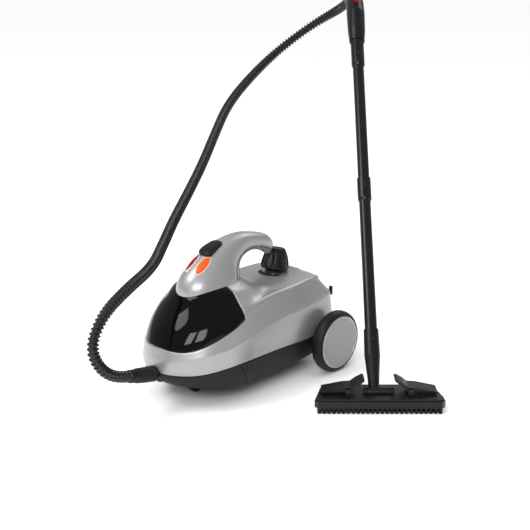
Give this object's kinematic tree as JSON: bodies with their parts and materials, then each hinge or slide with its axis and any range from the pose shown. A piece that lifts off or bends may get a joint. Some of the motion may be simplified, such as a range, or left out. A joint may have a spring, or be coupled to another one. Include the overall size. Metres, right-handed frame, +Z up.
{
  "type": "steam cleaner",
  "caption": "Wheeled canister steam cleaner with arched carrying handle, safety filler cap, corrugated hose, trigger gun, extension tubes and clamping floor brush.",
  "frame": {"origin": "on the floor, below the middle of the bounding box of the unit, wand and brush (hose left out)", "axes": "+Z up; -Y is the way the unit's nose points; +X is the unit's left side, where the wand stands"},
  "size_m": [0.8014, 0.9717, 0.649],
  "materials": {
    "silver_shell": "satin metallic silver ABS",
    "smoke_visor": "high-gloss black",
    "charcoal_base": "fine-grained charcoal",
    "black_plastic": "satin black",
    "red_lens": "clear red, facetted",
    "amber_lens": "clear amber, facetted",
    "tyre_black": "soft black",
    "disc_silver": "satin silver",
    "hose_black": "corrugated, semi-gloss",
    "bristle_black": "nylon tufts",
    "seal_silicone": "silicone",
    "brass": "turned",
    "stainless": "pressed",
    "zinc_steel": "zinc plated",
    "white_plastic": "natural",
    "neon": "glass-clear lamp bodies"
  },
  "bodies": {
    "unit": {"upper_shell": "silver_shell", "handle_cover": "silver_shell", "handle_underside": "silver_shell", "visor_panel": "smoke_visor", "lower_base": "charcoal_base", "housing_screws": "zinc_steel", "lens_red": "red_lens", "lens_amber": "amber_lens", "switch_module": "white_plastic", "indicator_lamps": "neon", "filler_collar": "black_plastic", "filler_neck": "brass", "boiler_upper": "stainless", "boiler_lower": "stainless", "boiler_gasket": "seal_silicone", "boiler_bolts": "zinc_steel", "heating_element": "stainless", "thermostat": "white_plastic", "thermal_fuse": "white_plastic", "pressure_switch": "white_plastic", "safety_valve": "brass", "steam_valve": "brass", "steam_pipes": "stainless", "terminal_block": "white_plastic", "cord_gland": "black_plastic", "cord_hooks": "black_plastic", "rear_axle": "zinc_steel", "hose_socket": "black_plastic", "hose_cuff": "tyre_black", "steam_hose": "hose_black", "neck_pin": "zinc_steel", "brush_body": "black_plastic", "brush_bristles": "bristle_black"},
    "left_road_wheel": {"left_wheel": "tyre_black", "left_wheel_disc": "disc_silver"},
    "right_road_wheel": {"right_wheel": "tyre_black", "right_wheel_disc": "disc_silver"},
    "caster_swivel": {"caster_fork": "black_plastic", "caster_pin": "zinc_steel"},
    "caster_wheel": {"caster_roller": "tyre_black"},
    "rocker": {"power_rocker": "black_plastic"},
    "cap_ring": {"cap_seal": "seal_silicone"},
    "safety_cap": {"cap_plug": "black_plastic", "cap_knob": "black_plastic"},
    "wand": {"brush_neck": "black_plastic", "lower_tube": "black_plastic", "upper_tube": "black_plastic", "gun_nozzle": "black_plastic", "gun_left_shell": "black_plastic", "gun_right_shell": "black_plastic", "gun_microswitch": "white_plastic", "gun_screws": "zinc_steel", "gun_cuff": "tyre_black"},
    "latch_low": {"lower_latch": "charcoal_base"},
    "latch_mid": {"middle_latch": "charcoal_base"},
    "latch_top": {"upper_latch": "charcoal_base"},
    "trigger": {"gun_trigger": "charcoal_base"},
    "child_lock": {"gun_lock_slider": "red_lens"},
    "clamp_left": {"left_clamp": "black_plastic"},
    "clamp_right": {"right_clamp": "black_plastic"}
  },
  "joints": [
    {"name": "left_wheel_spin", "type": "hinge", "parent": "unit", "child": "left_road_wheel", "pos_m": [0.0477, -0.066, 0.056], "axis": [1, 0, 0], "continuous": true},
    {"name": "right_wheel_spin", "type": "hinge", "parent": "unit", "child": "right_road_wheel", "pos_m": [-0.1803, -0.066, 0.056], "axis": [1, 0, 0], "continuous": true},
    {"name": "caster_turn", "type": "hinge", "parent": "unit", "child": "caster_swivel", "pos_m": [-0.0663, -0.311, 0.04], "axis": [0, 0, 1], "continuous": true},
    {"name": "caster_roll", "type": "hinge", "parent": "caster_swivel", "child": "caster_wheel", "pos_m": [-0.0663, -0.303, 0.013], "axis": [1, 0, 0], "continuous": true},
    {"name": "power_switch", "type": "hinge", "parent": "unit", "child": "rocker", "pos_m": [-0.0663, -0.26, 0.246], "axis": [1, 0, 0], "range_deg": [0, 8]},
    {"name": "cap_travel", "type": "slide", "parent": "unit", "child": "cap_ring", "axis": [0, 0.1736, 0.9848], "range_m": [0, 0.00451]},
    {"name": "cap_turn", "type": "hinge", "parent": "cap_ring", "child": "safety_cap", "pos_m": [-0.0663, -0.104, 0.166], "axis": [0, 0.1736, 0.9848], "range_deg": [0, 810]},
    {"name": "wand_tilt", "type": "hinge", "parent": "unit", "child": "wand", "pos_m": [0.20506, -0.13946, 0.027], "axis": [0.7314, 0.682, 0], "range_deg": [-20, 44], "deforming": ["steam_hose"]},
    {"name": "low_latch_press", "type": "slide", "parent": "wand", "child": "latch_low", "axis": [-0.4848, 0.5198, -0.7034], "range_m": [0, 0.0018], "stiffness_N_per_m": 300},
    {"name": "mid_latch_press", "type": "slide", "parent": "wand", "child": "latch_mid", "axis": [-0.4848, 0.5198, -0.7034], "range_m": [0, 0.0018], "stiffness_N_per_m": 300},
    {"name": "top_latch_press", "type": "slide", "parent": "wand", "child": "latch_top", "axis": [-0.4848, 0.5198, -0.7034], "range_m": [0, 0.0018], "stiffness_N_per_m": 300},
    {"name": "trigger_pull", "type": "hinge", "parent": "wand", "child": "trigger", "pos_m": [-0.20096, 0.28421, 0.59435], "axis": [0.7314, 0.682, 0], "range_deg": [0, 12], "stiffness_Nm_per_rad": 0.3},
    {"name": "child_lock_slide", "type": "slide", "parent": "wand", "child": "child_lock", "axis": [-0.4797, 0.5144, 0.7108], "range_m": [0, 0.006]},
    {"name": "left_clamp_lift", "type": "hinge", "parent": "unit", "child": "clamp_left", "pos_m": [0.16567, -0.17346, 0.0335], "axis": [-0.682, 0.7314, 0], "range_deg": [0, 18], "stiffness_Nm_per_rad": 0.3},
    {"name": "right_clamp_lift", "type": "hinge", "parent": "unit", "child": "clamp_right", "pos_m": [0.24173, -0.10254, 0.0335], "axis": [0.682, -0.7314, 0], "range_deg": [0, 18], "stiffness_Nm_per_rad": 0.3}
  ],
  "couplings": [
    {"joint": "cap_travel", "follows": "cap_turn", "m_per_rad": 0.00031831}
  ]
}
